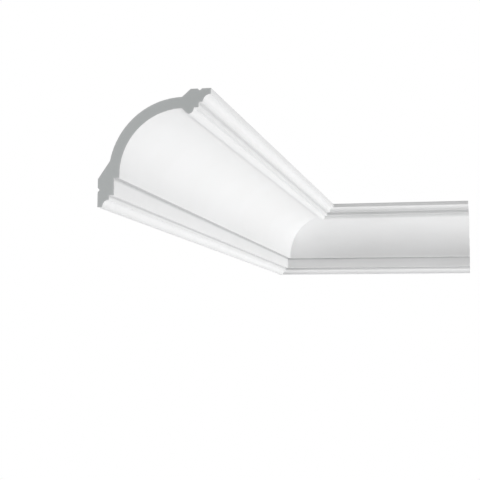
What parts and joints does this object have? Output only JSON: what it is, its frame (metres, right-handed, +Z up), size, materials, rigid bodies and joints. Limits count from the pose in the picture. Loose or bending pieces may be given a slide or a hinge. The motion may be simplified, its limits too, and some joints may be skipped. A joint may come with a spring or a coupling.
{
  "type": "cornice moulding section",
  "caption": "Inside corner of a coved ceiling cornice moulding, mitred where its lengths meet, with a stepped foot for the wall, a beaded head for the ceiling and a hollow back.",
  "frame": {"origin": "the corner where the two walls meet, level with the cornice's lower edge, on the wall beds of both lengths", "axes": "+Z up to the ceiling, +Y into the back wall, +X along the back wall away from the side wall; the long length runs along -Y and the short one along +X"},
  "size_m": [0.36, 1, 0.12],
  "materials": {
    "primed_white": "smooth factory-primed white, fine satin; sawn ends show the grey foam core"
  },
  "bodies": {
    "root": {"side_length": "primed_white", "back_length": "primed_white"}
  },
  "joints": []
}
